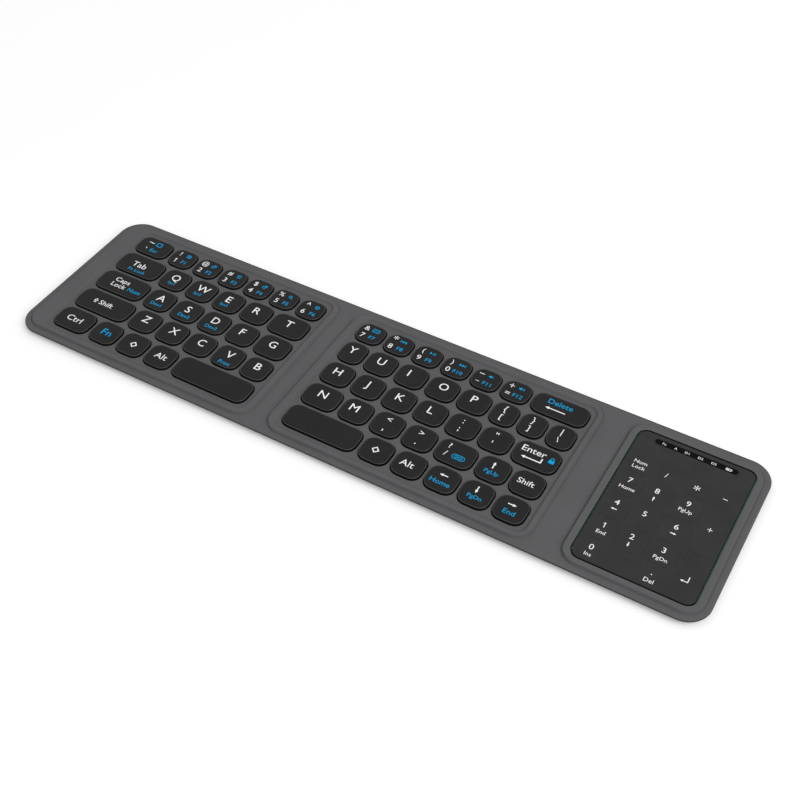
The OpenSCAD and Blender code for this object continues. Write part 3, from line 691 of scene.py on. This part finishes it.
shell = {
    "halfDepth": 49.0, "cornerRadius": 12.0, "panelRadius": 9.0, "fieldRadius": 5.2, "footY": 46.0,
    "seam": 3.0, "skin": 0.6, "flangeTop": 3.6, "flangeBottom": 2.4, "rim": 5.0, "web": 4.0, "clear": 0.3,
    "lip": 0.25, "press": 0.2, "pressDepth": 0.16, "slope": 0.85, "innerSlope": 1.35, "slopeSteps": 13,
    "wallIn": 1.6, "floorSlope": 1.3,
}


def fieldSides(start, width):
    # a sunk field is wider than its keys by a border
    return start - field["border"], start + width + field["border"]


panels = {
    "left": {"edge": (-183.7875, -43.5625), "outer": (1, 0), "foot": (-180.7875, -44.6125),
             "keys": leftKeys, "field": fieldSides(field["leftStart"], field["leftWidth"])},
    "middle": {"edge": (-37.1625, 102.3625), "outer": (0, 0), "foot": (-36.1125, 102.2875),
               "keys": middleKeys, "field": fieldSides(field["middleStart"], field["middleWidth"])},
    "touch": {"edge": (115.5625, 183.7875), "outer": (0, 1), "foot": (115.6375, 180.7875), "keys": []},
}
fieldY = 42.6  # half the depth of a sunk field
touch = {
    "x": (120.4, 176.65), "y": (-41.95, 41.2), "radius": 4.5, "gap": 0.5, "bottom": 3.9, "top": 4.9,
    "roll": 0.25,
}


def touchLoop(grow):
    # the touch surface's outline, grown outwards
    x, y = touch["x"], touch["y"]
    return roundedLoop((x[0] - grow, x[1] + grow), (y[0] - grow, y[1] + grow), touch["radius"] + grow)


# the top skin's edge as (inset, height): rolled down at the front, cut square at the back
rolledEdge = [(0.09, 3.005), (0.0, 3.08), (0.0, 3.2), (0.07, 3.36), (0.2, 3.49), (0.42, 3.57), (0.7, 3.6),
              (0.85, 3.6)]
squareEdge = [(0.09, 3.005), (0.0, 3.08), (0.0, 3.3), (0.0, 3.46), (0.04, 3.55), (0.15, 3.6), (0.7, 3.6),
              (0.85, 3.6)]
cutSteps = 4  # how many steps of either edge show the cut


def edgeLoop(panel, inset):
    # the sealed edge's outline; only the outer sides and corners draw in, so that it meets the hinge strips
    left, right = panel["outer"]
    radii = np.array([max(shell["cornerRadius"] * side, 0.02) for side in (left, right, right, left)])
    return roundedLoop((panel["edge"][0] + inset * left, panel["edge"][1] - inset * right),
                       (-shell["halfDepth"] + inset, shell["halfDepth"] - inset),
                       np.maximum(radii - inset, 0.02))


def edgeRing(panel, rolled, square):
    # a step of the edge, which goes from square to rolled as it comes forward
    soft, sharp = (ringAt(edgeLoop(panel, inset), z) for inset, z in (rolled, square))
    front = smoothStep(np.clip(0.5 - sharp[:, 1:2] / (2 * shell["halfDepth"]), 0, 1))
    return sharp + (soft - sharp) * front


def footLoop(panel, inset):
    # the outline where the slope to the rim starts, drawn in
    return roundedLoop((panel["foot"][0] + inset, panel["foot"][1] - inset),
                       (-shell["footY"] + inset, shell["footY"] - inset), shell["panelRadius"] - inset)


def topCover(name, panel):
    # one closed skin: the underside from the field outwards, the cut edge, the flange, the rim and the field
    s = shell
    isKeys = bool(panel["keys"])
    under, groove = s["rim"] - s["skin"], s["flangeTop"] - s["pressDepth"]
    if isKeys:
        sides = panel["field"]
        inner = lambda grow: roundedLoop((sides[0] - grow, sides[1] + grow), (-fieldY - grow, fieldY + grow),
                                         s["fieldRadius"] + grow)
        rings = [ringAt(inner(0.5), s["web"] - s["skin"]), ringAt(inner(0.5), under)]
    else:
        inner = lambda grow: touchLoop(touch["gap"] + grow)
        rings = [ringAt(inner(0), s["rim"] - s["lip"]), ringAt(inner(0), under)]
    lipFaces = (len(rings) - 1) * len(rings[0])
    rings += [ringAt(footLoop(panel, s["wallIn"]), z) for z in (under, s["seam"])]
    edgeStart = len(rings)
    rings += [edgeRing(panel, *steps) for steps in zip(rolledEdge, squareEdge)]
    rings.append(ringAt(footLoop(panel, -0.04), s["flangeTop"]))
    rings += [ringAt(footLoop(panel, s["press"] * t), s["flangeTop"] - s["pressDepth"] * smoothStep(t))
              for t in (0, 0.25, 0.5, 0.75)]
    slope, quarter = np.linspace(0, 1, s["slopeSteps"]), np.linspace(0, np.pi / 2, 6)
    rings += [ringAt(footLoop(panel, s["press"] + s["slope"] * t),
                     groove + (s["rim"] - groove) * smoothStep(t)) for t in slope]
    rings.append(ringAt(footLoop(panel, s["press"] + s["slope"] + 0.2), s["rim"]))
    if isKeys:
        rings.append(ringAt(inner(0.7), s["rim"]))
        rings += [ringAt(inner(0.5 - s["innerSlope"] * t), s["rim"] - (s["rim"] - s["web"]) * smoothStep(t))
                  for t in slope]
        rings.append(ringAt(inner(-1.05), s["web"]))
    else:
        rings.append(ringAt(inner(s["lip"] + 0.15), s["rim"]))
        rings += [ringAt(inner(s["lip"] * (1 - math.sin(a))), s["rim"] - s["lip"] * (1 - math.cos(a)))
                  for a in quarter]
    spots, faces = loft(rings)
    size = len(rings[0])
    # the cut edge takes the darker colour, partly its own and partly painted shade
    cut = slice(edgeStart * size, (edgeStart + cutSteps) * size)
    flange = cut.stop + 2 * size
    # painted shade: the touch cover's lip down into the gap gets the near-black side material
    shadedLip = 0 if isKeys else lipFaces
    lipStart = len(faces) - 3 * shadedLip
    # painted shade: the dark edge colour runs on over the top along the back and the left end
    band = np.array(faces[cut.stop:flange])
    outward = (spots[cut.stop:cut.stop + size] - spots[flange:flange + size])[:, :2]
    shadedTopBand = np.tile(outward[:, 1] - outward[:, 0] > 0.5 * np.linalg.norm(outward, axis=1), 2)
    rest = faces[shadedLip:cut.start] + band[~shadedTopBand].tolist() + faces[flange:lipStart]
    parts = [(spots, rest, 0), (spots, faces[cut] + band[shadedTopBand].tolist(), 1)]
    if not isKeys:
        parts.append((spots, faces[:shadedLip] + faces[lipStart:], 2))
        return pieceFrom(name + "_top_leather", parts, [leather, cutEdgeAndShade, keySideShade], merge=True)
    top, bottom, wide = [], [], s["clear"] + s["lip"]
    for _, _, *place in panel["keys"]:
        top.append(keyLoop(*place, -(wide + 0.08)))
        bottom.append(keyLoop(*place, -s["clear"]))
        lipRings = [ringAt(top[-1], s["web"])]
        lipRings += [ringAt(keyLoop(*place, -(wide - s["lip"] * math.sin(a))),
                            s["web"] - s["lip"] * (1 - math.cos(a))) for a in quarter]
        parts.append((*loft(lipRings), 0))
        # the hole's wall below the lip takes the darker edge colour: the cut edge's own colour and painted
        # shade in the gap
        parts.append((*loft([lipRings[-1], ringAt(bottom[-1], s["web"] - s["skin"])]), 1))
    parts.append((*fillBetween(inner(-1.05), top, s["web"], True), 0))
    parts.append((*fillBetween(inner(0.5), bottom, s["web"] - s["skin"], False), 0))
    return pieceFrom(name + "_top_leather", parts, [leather, cutEdgeAndShade], merge=True)


def bottomCover(name, panel):
    # a shallow tray: floor, sloping sides, flange, cut edge, and the hollow inside
    s = shell
    rings = [ringAt(footLoop(panel, s["floorSlope"] + 0.3), 0.0)]
    rings += [ringAt(footLoop(panel, s["floorSlope"] * (1 - t)), s["flangeBottom"] * smoothStep(t))
              for t in np.linspace(0, 1, 9)]
    rings.append(ringAt(footLoop(panel, -0.04), s["flangeBottom"]))
    edgeStart = len(rings) + 1
    trayEdge = [(0.4, s["flangeBottom"]), (0.18, s["flangeBottom"]), (0.05, 2.47), (0.0, 2.58),
                (0.0, s["seam"] - 0.08), (0.09, s["seam"] - 0.005)]
    rings += [ringAt(edgeLoop(panel, inset), z) for inset, z in trayEdge]
    edgeEnd = len(rings) - 1
    rings += [ringAt(footLoop(panel, s["wallIn"]), z) for z in (s["seam"] - 0.005, s["skin"])]
    spots, faces = loft(rings, True, True)
    size = len(rings[0])
    # the cut edge takes the darker colour, partly its own and partly painted shade
    cut = slice(edgeStart * size, edgeEnd * size)
    parts = [(spots, faces[:cut.start] + faces[cut.stop:], 0), (spots, faces[cut], 1)]
    return pieceFrom(name + "_bottom_leather", parts, [leather, cutEdgeAndShade], merge=True)


mouth = {"y": 22.0, "z": 1.85, "width": 9.04, "height": 3.26, "from": -184.6, "to": -173.04}


def cutMouth(piece):
    # takes the charging port's opening, a long hole along x, out of a cover
    m = mouth
    w, h = m["width"] / 2, m["height"] / 2
    outline = roundedLoop((m["y"] - w, m["y"] + w), (m["z"] - h, m["z"] + h), h - 0.01, 12)
    rings = [np.column_stack([np.full(len(outline), x), outline]) for x in (m["from"], m["to"])]
    # the opening's walls take the darker edge colour, partly painted shade
    cutter = pieceFrom("mouth_cutter", [(*loft(rings, True, True), 1)], [leather, cutEdgeAndShade], smooth=False)
    step = piece.modifiers.new("mouth", "BOOLEAN")
    step.operation, step.solver, step.object = "DIFFERENCE", "EXACT", cutter
    bpy.context.view_layer.update()
    carved = bpy.data.meshes.new_from_object(piece.evaluated_get(bpy.context.evaluated_depsgraph_get()))
    piece.modifiers.clear()
    before, piece.data = piece.data, carved
    bpy.data.meshes.remove(before)
    bpy.data.objects.remove(cutter)


print("covers: building six skins")
for name, panel in panels.items():
    for make, node in ((topCover, name + "_top_cover"), (bottomCover, name + "_bottom_cover")):
        piece = make(name, panel)
        if name == "left":
            cutMouth(piece)
        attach(piece, name + "_panel")
        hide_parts(node)


def stripSection():
    # both skins across the depth, from the back top corner round to the back bottom corner
    y, s = shell["halfDepth"], shell
    back = [(y - 0.4, s["flangeBottom"]), (y - 0.18, s["flangeBottom"]), (y - 0.05, 2.47), (y, 2.58),
            (y, 2.92), (y - 0.09, 3.0)]
    front = [(-a, b) for a, b in back[::-1]]
    back += [(y - inset, z) for inset, z in squareEdge[1:-1]]
    front = [(inset - y, z) for inset, z in rolledEdge[-2:0:-1]] + front
    return np.array(back + front)


strips = {
    "left_outer": {"x": (-43.5625, -40.3625), "zone": (-43.5625, -40.3625),
                   "bodies": ("left_panel", "left_spine"), "node": "left_hinge"},
    "left_inner": {"x": (-40.3625, -37.1625), "zone": (-40.3625, -37.1625),
                   "bodies": ("left_spine", "middle_panel"), "node": "left_hinge"},
    "right_inner": {"x": (102.3625, 108.9625), "zone": (102.3625, 106.9625),
                    "bodies": ("middle_panel", "right_spine"), "node": "right_hinge"},
    "right_outer": {"x": (108.9625, 115.5625), "zone": (110.9625, 115.5625),
                    "bodies": ("right_spine", "touch_panel"), "node": "right_hinge"},
}
stripSteps = 25
print("hinges: building four strips")
section = stripSection()
for name, strip in strips.items():
    rings = [np.column_stack([np.full(len(section), x), section])
             for x in np.linspace(*strip["x"], stripSteps)]
    piece = pieceFrom(name + "_strip", [(*loft(rings, True, True), 0)], [leather, cutEdgeAndShade])
    middles = np.zeros(len(piece.data.polygons) * 3)
    piece.data.polygons.foreach_get("center", middles)
    depths = middles[1::3]
    # the cut edges take the darker colour, and along the back it runs over a band of the top as painted shade
    isCutOrShaded = (depths > (shell["halfDepth"] - 0.7) * mm) | (depths < (0.15 - shell["halfDepth"]) * mm)
    piece.data.polygons.foreach_set("material_index", isCutOrShaded.astype(np.int32))
    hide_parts(strip["node"])
    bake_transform(piece)


def touchPlate():
    # a thin plate with a quarter-round edge
    r, quarter = touch["roll"], np.linspace(0, np.pi / 2, 7)
    rings = [ringAt(touchLoop(0), touch["bottom"])]
    rings += [ringAt(touchLoop(r * (math.cos(a) - 1)), touch["top"] - r * (1 - math.sin(a))) for a in quarter]
    rings.append(ringAt(touchLoop(-r - 0.2), touch["top"]))
    spots, faces = loft(rings, True, True)
    side = len(quarter) * len(rings[0])
    # painted shade: the plate's rounded side gets the near-black side material
    return [(spots, faces[:side] + faces[-2:-1], 1), (spots, faces[side:-2] + faces[-1:], 0)]


print("touch panel: surface, grid, window and legends")
surface = pieceFrom("touch_plate", touchPlate(), [touchFace, keySideShade], merge=True)
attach(surface, "touch_panel")
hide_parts("touch_surface")

pad = {"shift": (-0.13, -1.28), "scale": 1.01165, "lift": 0.004, "overWindow": 0.02, "windowFrom": 36}
onPad = lambda x, y: (x * pad["scale"] + pad["shift"][0], y * pad["scale"] + pad["shift"][1])
# the pad's legends as (mark, x, y, height)
padLegends = [
    ("Num", 126.6, 22.4, 2.0), ("Lock", 126.6, 19.2, 2.0), ("/", 139.4, 20.8, 2.6),
    ("*", 153.8, 19.6, 4.6), ("@minus", 166.8, 20.6, 2.2), ("7", 126.4, 10.3, 2.9),
    ("Home", 126.8, 5.4, 1.9), ("8", 139.3, 10.3, 2.9), ("@up", 139.3, 5.5, 2.6), ("9", 153.8, 10.3, 2.9),
    ("PgUp", 153.8, 6.0, 1.9), ("4", 126.4, -4.2, 2.9), ("@left", 126.4, -8.3, 2.8),
    ("5", 139.3, -4.3, 2.9), ("6", 153.8, -4.2, 2.9), ("@right", 153.8, -8.3, 2.8),
    ("@plus", 166.8, 1.3, 2.2), ("@one", 126.4, -18.6, 2.9), ("End", 126.6, -22.9, 1.9),
    ("2", 139.3, -18.6, 2.9), ("@down", 139.3, -23.2, 2.6), ("3", 153.8, -18.6, 2.9),
    ("PgDn", 153.9, -23.4, 1.9), ("0", 126.4, -32.1, 2.9), ("Ins", 126.4, -36.3, 1.9),
    (".", 153.8, -31.6, 3.0), ("Del", 153.8, -36.3, 2.1), ("@enter", 166.7, -29.3, 3.4),
    ("Fn", 131.7, 37.9, 1.3), ("A", 137.2, 37.9, 1.3), ("D1", 142.8, 37.9, 1.3), ("D2", 149.0, 37.9, 1.3),
    ("D3", 155.3, 37.9, 1.3), ("@cell", 162.2, 37.9, 1.5),
]


def padPlates(mark, height):
    # the pad's own marks have finer lines than the keys'
    if mark == "@enter":
        return [plate(arrow(3.6, 0.4, 1.3, 2)), plate(box(1.4, 1.8, 0.2, 3.0))]
    if mark == "@cell":
        case = plate(roundedLoop((-1.3, 1.3), (-0.7, 0.7), 0.3, 4),
                     roundedLoop((-1.0, 1.0), (-0.4, 0.4), 0.1, 4))
        return [case, plate(box(1.4, 1.7, -0.3, 0.3)), plate(box(-0.8, 0.1, -0.25, 0.25))]
    if mark.startswith("@") and mark[1:] in quarterTurns:
        return [plate(arrow(height, 0.45, 1.25, quarterTurns[mark[1:]]))]
    return platesOf(mark, height)


padParts = []
for mark, x, y, height in padLegends:
    x, y = onPad(x, y)
    raised = pad["overWindow"] if y > pad["windowFrom"] else 0.0
    padParts += pressed(padPlates(mark, height), x, y, touch["top"] + ink["lift"] + raised, ink["thickness"])
padPrint = pieceFrom("touch_white_print", padParts, [whiteInk], smooth=False)
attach(padPrint, "touch_panel")

pill = {"x": 147.0, "y": 38.0, "width": 40.0, "height": 3.3, "thickness": 0.03}
px, py = onPad(pill["x"], pill["y"])
w, h = pill["width"] / 2, pill["height"] / 2
pillPlate = plate(roundedLoop((px - w, px + w), (py - h, py + h), h - 0.01, 12))
pillParts = pressed([pillPlate], 0, 0, touch["top"] + pad["lift"], pill["thickness"])
window = pieceFrom("indicator_window", pillParts, [windowGloss], smooth=False)
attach(window, "touch_panel")

lines = {
    "columns": (132.8, 146.6, 160.4), "rows": (15.4, 1.0, -13.5, -26.9), "sides": (119.6, 174.6),
    "half": 0.09, "reach": 0.36, "thickness": 0.02,
}
gridPlates = []
for x in lines["columns"]:
    for back, front in zip(lines["rows"], lines["rows"][1:]):
        gx, gy = onPad(x, (back + front) / 2)
        reach = (back - front) * lines["reach"]
        gridPlates.append(plate(box(gx - lines["half"], gx + lines["half"], gy - reach, gy + reach)))
for y in lines["rows"]:
    for start, end in zip((lines["sides"][0], *lines["columns"]), (*lines["columns"], lines["sides"][1])):
        gx, gy = onPad((start + end) / 2, y)
        reach = (end - start) * lines["reach"]
        gridPlates.append(plate(box(gx - reach, gx + reach, gy - lines["half"], gy + lines["half"])))
gridParts = pressed(gridPlates, 0, 0, touch["top"] + pad["lift"], lines["thickness"])
grid = pieceFrom("touch_grid_print", gridParts, [gridInk], smooth=False)
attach(grid, "touch_panel")

ground = {"half": 3.0, "z": -0.0002, "paper": 0.88, "glow": 0.18, "cloth": 0.8, "fade": (0.3, 0.8)}


def buildFloor():
    half, z = ground["half"], ground["z"]
    mesh = bpy.data.meshes.new("floor")
    corners = [(-half, -half, z), (half, -half, z), (half, half, z), (-half, half, z)]
    mesh.from_pydata(corners, [], [(0, 1, 2, 3)])
    floor = bpy.data.objects.new("floor", mesh)
    bpy.context.scene.collection.objects.link(floor)
    s = Shader("floor")
    seen = s.node("ShaderNodeLightPath", out="Is Camera Ray")
    cloth = s.node("ShaderNodeBsdfDiffuse", None, {"Color": (*[ground["cloth"]] * 3, 1)})
    glow = s.node("ShaderNodeEmission", None, {"Color": (1, 1, 1, 1), "Strength": ground["glow"]})
    paper = s.node("ShaderNodeBsdfDiffuse", None, {"Color": (*[ground["paper"]] * 3, 1)})
    lifted = s.node("ShaderNodeAddShader", None, (paper, glow))
    # the paper runs out to plain white well away from the keyboard
    distance = s.node("ShaderNodeVectorMath", {"operation": "LENGTH"}, {0: s.place()}, "Value")
    away = distance.step(*ground["fade"])
    bare = s.node("ShaderNodeEmission", None, {"Color": (1, 1, 1, 1), "Strength": 1.0})
    fading = s.node("ShaderNodeMixShader", None, {0: away, 1: lifted, 2: bare})
    both = s.node("ShaderNodeMixShader", None, {0: seen, 1: cloth, 2: fading})
    s.node("ShaderNodeOutputMaterial", None, {"Surface": both})
    floor.data.materials.append(s.material)


studio = {
    "ambient": 0.66,
    "lamps": [{"name": "soft box", "place": (2.1, -0.5, 2.1), "size": 2.4, "watts": 50.0}],
}


def buildLight():
    # white to the camera and in reflections, softer as light, with the lamps on top
    world = bpy.data.worlds.new("studio")
    bpy.context.scene.world = world
    s = Shader("studio", world)
    path = s.node("ShaderNodeLightPath", out="Is Camera Ray")
    clear = path.maths("MAXIMUM", path.out("Is Glossy Ray"), path.out("Is Transmission Ray"))
    path = path.maths("MAXIMUM", path, clear)
    soft = s.node("ShaderNodeBackground", None, {"Color": (1, 1, 1, 1), "Strength": studio["ambient"]})
    white = s.node("ShaderNodeBackground", None, {"Color": (1, 1, 1, 1), "Strength": 1.0})
    mixed = s.node("ShaderNodeMixShader", None, {0: path, 1: soft, 2: white})
    s.node("ShaderNodeOutputWorld", None, {"Surface": mixed})
    for lamp in studio["lamps"]:
        light = bpy.data.lights.new(lamp["name"], "AREA")
        light.energy, light.size, light.color = lamp["watts"], lamp["size"], (1, 1, 1)
        holder = bpy.data.objects.new(lamp["name"], light)
        holder.location = lamp["place"]
        holder.rotation_euler = (-Vector(lamp["place"])).to_track_quat("-Z", "Y").to_euler()
        bpy.context.scene.collection.objects.link(holder)


view = {
    "lens": 55.65, "sensor": 36.0, "place": (0.21596, -0.35247, 0.4315),
    "right": (0.86696593, 0.49836688, 0.00072791), "up": (-0.36098295, 0.62696262, 0.69036888),
    "back": (0.34360062, -0.59878905, 0.72345718),
}
buildFloor()
buildLight()
lens = bpy.data.cameras.new("view")
lens.lens, lens.sensor_width = view["lens"], view["sensor"]
lens.clip_start, lens.clip_end = 0.01, 20
camera = bpy.data.objects.new("view", lens)
axes = Matrix([view["right"], view["up"], view["back"]]).transposed().to_4x4()
camera.matrix_world = Matrix.Translation(view["place"]) @ axes
bpy.context.scene.collection.objects.link(camera)
bpy.context.scene.camera = camera
bpy.context.scene.view_settings.view_transform = "Standard"

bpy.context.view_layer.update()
shown = [o for o in bpy.data.objects if o.type == "MESH" and not o.hide_render]
print("scene ready:", sum(len(o.data.polygons) for o in shown), "faces shown")
